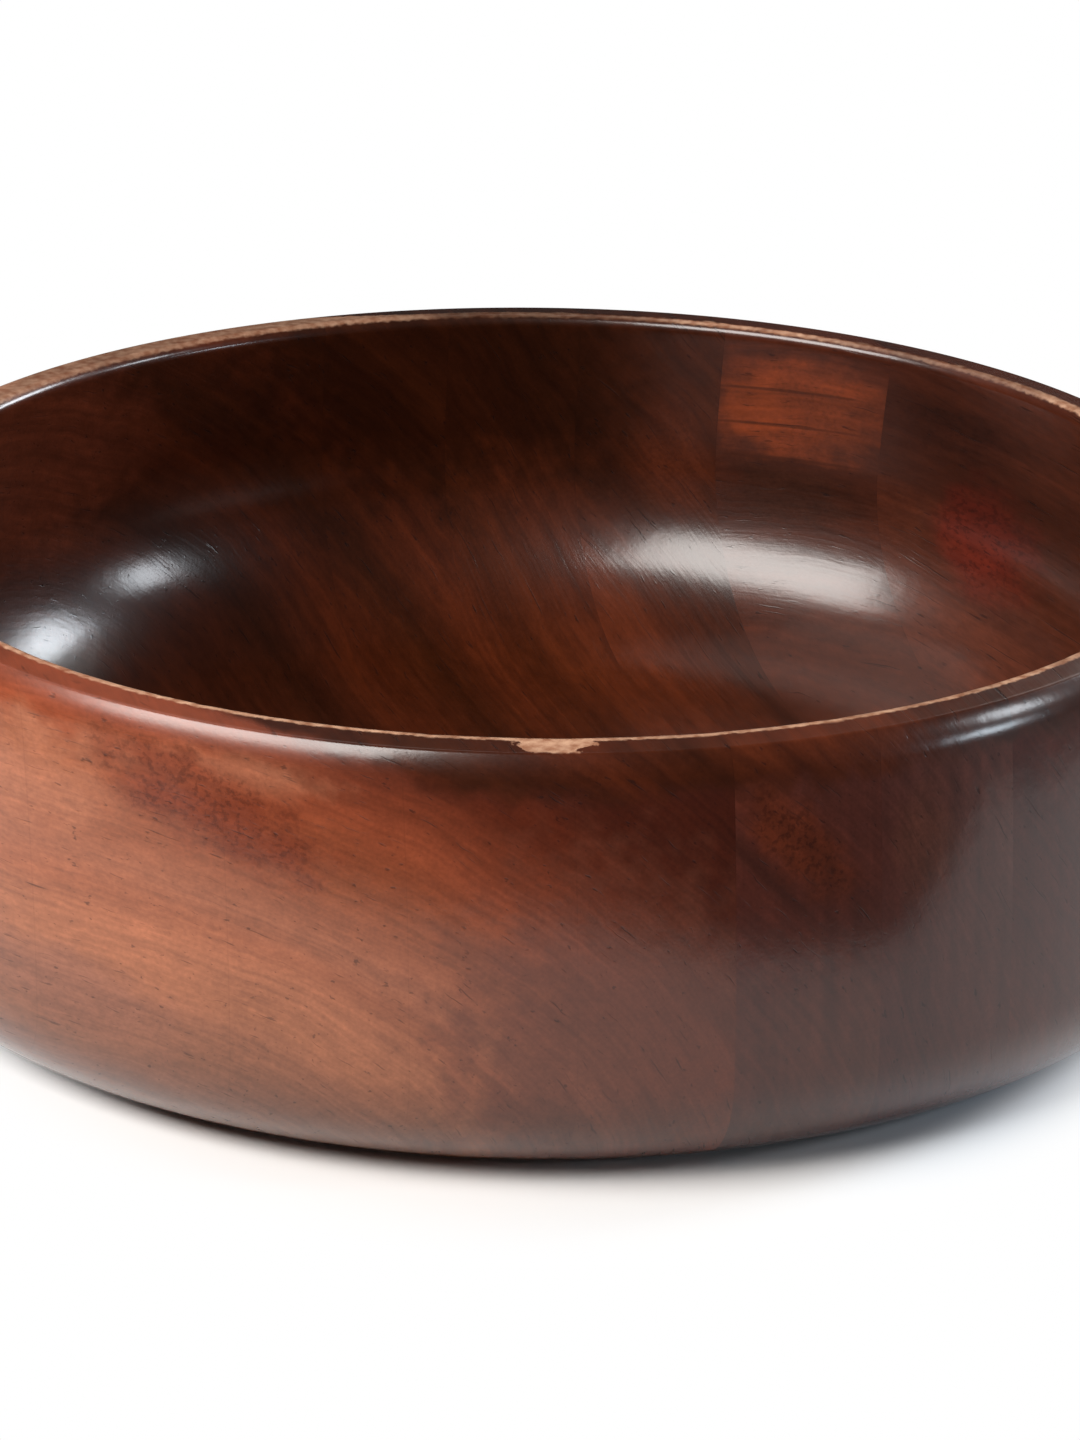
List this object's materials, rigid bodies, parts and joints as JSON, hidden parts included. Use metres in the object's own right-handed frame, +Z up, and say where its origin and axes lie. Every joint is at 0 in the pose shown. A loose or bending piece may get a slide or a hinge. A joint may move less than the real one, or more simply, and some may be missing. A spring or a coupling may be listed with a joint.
{
  "type": "wooden serving bowl",
  "caption": "Round, low serving bowl with near-upright walls and a softly rounded rim, turned from a block of planks glued face to face and lacquered.",
  "frame": {"origin": "centre of the foot ring, on the plane that the bowl stands on", "axes": "+Z up along the bowl's axis; +Y away from the viewer of the picture and +X to their right; the planks run 18 degrees off +Y, with their far ends towards -X"},
  "size_m": [0.305, 0.305, 0.09],
  "materials": {
    "red_brown_wood": "glossy lacquer",
    "brown_wood": "glossy lacquer",
    "dark_brown_wood": "glossy lacquer",
    "glue": "hardened glue under lacquer"
  },
  "bodies": {
    "root": {"plank_1": "red_brown_wood", "plank_2": "red_brown_wood", "plank_3": "red_brown_wood", "plank_4": "red_brown_wood", "plank_5": "red_brown_wood", "plank_6": "red_brown_wood", "plank_7": "brown_wood", "plank_8": "dark_brown_wood", "plank_9": "red_brown_wood", "plank_10": "brown_wood", "glue_line_1": "glue", "glue_line_2": "glue", "glue_line_3": "glue", "glue_line_4": "glue", "glue_line_5": "glue", "glue_line_6": "glue", "glue_line_7": "glue", "glue_line_8": "glue", "glue_line_9": "glue"}
  },
  "joints": []
}
